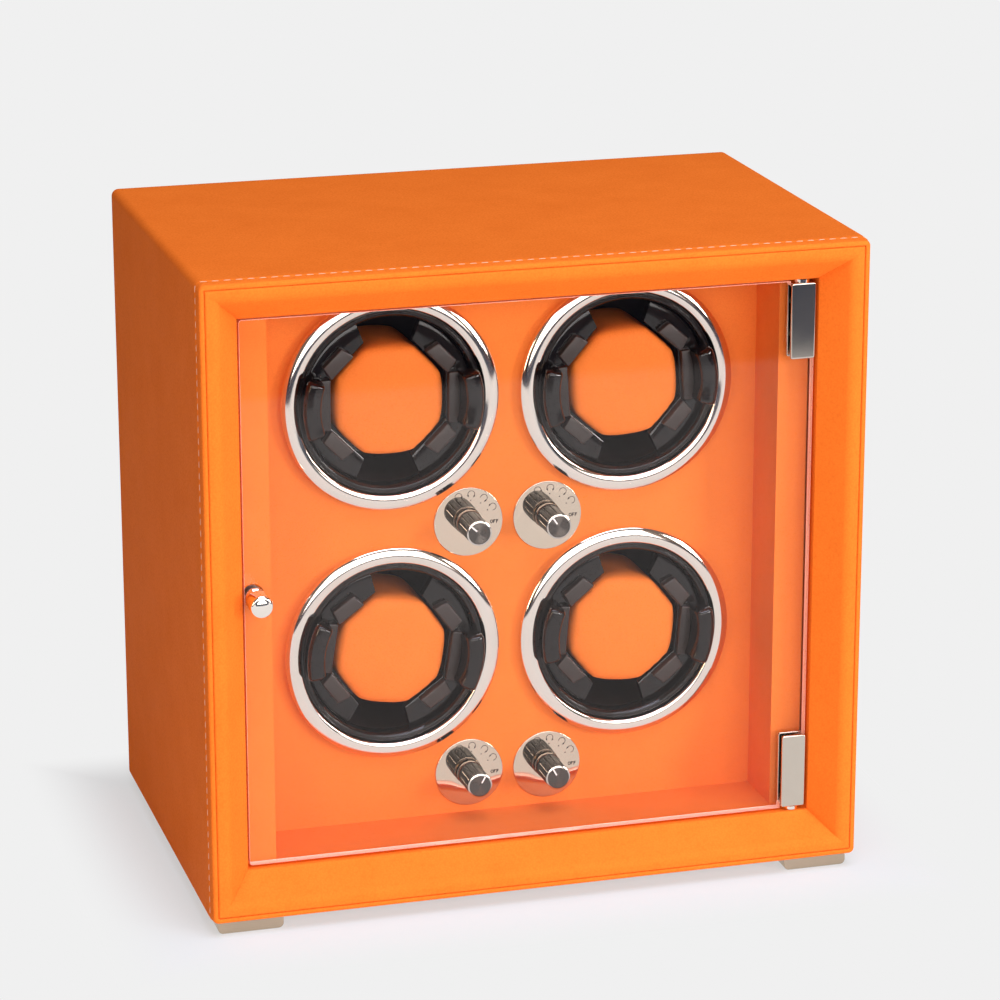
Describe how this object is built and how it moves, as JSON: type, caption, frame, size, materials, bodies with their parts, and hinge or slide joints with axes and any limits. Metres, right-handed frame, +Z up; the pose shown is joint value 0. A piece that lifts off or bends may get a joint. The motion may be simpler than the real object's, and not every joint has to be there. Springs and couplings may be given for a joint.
{
  "type": "watch winder box",
  "caption": "Leatherette watch winder box with a mitred bevelled frame, a clear pivoting door, chrome-ringed winding drums on a recessed panel and fluted selector knobs.",
  "frame": {"origin": "centre of the footprint, at floor level under the feet", "axes": "+X right as seen from the front, +Y towards the back, +Z up"},
  "size_m": [0.3106, 0.2, 0.3046],
  "materials": {
    "outer_leatherette": "orange grained leatherette over fibreboard, sewn hem",
    "frame_leatherette": "orange leatherette over a bevelled moulding",
    "lining_leatherette": "smooth orange leatherette lining",
    "back_leatherette": "orange leatherette over thin board",
    "bezel_chrome": "bright chrome",
    "drum_black": "gloss black moulding",
    "holder_black": "satin and gloss black moulding",
    "cushion_leatherette": "padded orange leatherette",
    "dial_mirror": "mirror plate with printed marks",
    "knob_aluminium": "black anodised, fluted, spun face",
    "foot_steel": "brushed nickel",
    "clear_pane": "clear acrylic sheet with polished edges",
    "hinge_chrome": "bright chrome",
    "fixing_steel": "plated steel",
    "bush_brass": "turned brass",
    "pull_chrome": "bright chrome",
    "magnet": "nickel plated magnet",
    "shaft_steel": "ground steel",
    "machine_metal": "plain metal cans and spacers",
    "fibreboard": "bare fibreboard",
    "circuit_board": "green board with components",
    "jack_black": "black moulding"
  },
  "bodies": {
    "case": {"back_panel": "back_leatherette", "back_panel_screws": "fixing_steel", "bezel_ring_1": "bezel_chrome", "bezel_ring_2": "bezel_chrome", "bezel_ring_3": "bezel_chrome", "bezel_ring_4": "bezel_chrome", "case_shell": "outer_leatherette", "catch_magnet": "magnet", "ceiling_board": "lining_leatherette", "control_board": "circuit_board", "dial_plate_1": "dial_mirror", "dial_plate_2": "dial_mirror", "dial_plate_3": "dial_mirror", "dial_plate_4": "dial_mirror", "floor_board": "lining_leatherette", "foot_back_left": "foot_steel", "foot_back_right": "foot_steel", "foot_front_left": "foot_steel", "foot_front_right": "foot_steel", "frame_bottom_rail": "frame_leatherette", "frame_left_stile": "frame_leatherette", "frame_right_stile": "frame_leatherette", "frame_top_rail": "frame_leatherette", "gearmotors": "machine_metal", "hinge_bushes": "bush_brass", "left_jamb": "lining_leatherette", "motor_board": "fibreboard", "motor_board_standoffs": "machine_metal", "power_jack": "jack_black", "right_jamb": "lining_leatherette", "selector_switches": "machine_metal", "switch_nuts": "machine_metal", "winder_panel": "lining_leatherette"},
    "door": {"clamp_set_screws": "fixing_steel", "door_knob": "pull_chrome", "door_knob_screw": "fixing_steel", "door_pane": "clear_pane", "hinge_clamp_bottom": "hinge_chrome", "hinge_clamp_top": "hinge_chrome", "hinge_pins": "fixing_steel"},
    "winder_1": {"cushion_1": "cushion_leatherette", "drum_1": "drum_black", "drum_shaft_1": "shaft_steel", "watch_holder_1": "holder_black"},
    "selector_1": {"selector_knob_1": "knob_aluminium"},
    "winder_2": {"cushion_2": "cushion_leatherette", "drum_2": "drum_black", "drum_shaft_2": "shaft_steel", "watch_holder_2": "holder_black"},
    "selector_2": {"selector_knob_2": "knob_aluminium"},
    "winder_3": {"cushion_3": "cushion_leatherette", "drum_3": "drum_black", "drum_shaft_3": "shaft_steel", "watch_holder_3": "holder_black"},
    "selector_3": {"selector_knob_3": "knob_aluminium"},
    "winder_4": {"cushion_4": "cushion_leatherette", "drum_4": "drum_black", "drum_shaft_4": "shaft_steel", "watch_holder_4": "holder_black"},
    "selector_4": {"selector_knob_4": "knob_aluminium"}
  },
  "joints": [
    {"name": "door_swing", "type": "hinge", "parent": "case", "child": "door", "pos_m": [0.1282, -0.0824, 0.1553], "axis": [0, 0, 1], "range_deg": [0, 105]},
    {"name": "winder_1_spin", "type": "hinge", "parent": "case", "child": "winder_1", "pos_m": [-0.0563, -0.044, 0.2305], "axis": [0, 1, 0], "continuous": true},
    {"name": "winder_2_spin", "type": "hinge", "parent": "case", "child": "winder_2", "pos_m": [0.0563, -0.044, 0.2305], "axis": [0, 1, 0], "continuous": true},
    {"name": "winder_3_spin", "type": "hinge", "parent": "case", "child": "winder_3", "pos_m": [-0.0563, -0.044, 0.1098], "axis": [0, 1, 0], "continuous": true},
    {"name": "winder_4_spin", "type": "hinge", "parent": "case", "child": "winder_4", "pos_m": [0.0563, -0.044, 0.1098], "axis": [0, 1, 0], "continuous": true},
    {"name": "selector_1_turn", "type": "hinge", "parent": "case", "child": "selector_1", "pos_m": [-0.01905, -0.044, 0.1695], "axis": [0, 1, 0], "range_deg": [-1, 140]},
    {"name": "selector_2_turn", "type": "hinge", "parent": "case", "child": "selector_2", "pos_m": [0.01905, -0.044, 0.1695], "axis": [0, 1, 0], "range_deg": [-14, 127]},
    {"name": "selector_3_turn", "type": "hinge", "parent": "case", "child": "selector_3", "pos_m": [-0.01905, -0.044, 0.0459], "axis": [0, 1, 0], "range_deg": [-78, 63]},
    {"name": "selector_4_turn", "type": "hinge", "parent": "case", "child": "selector_4", "pos_m": [0.01905, -0.044, 0.0459], "axis": [0, 1, 0], "range_deg": [-19, 122]}
  ]
}
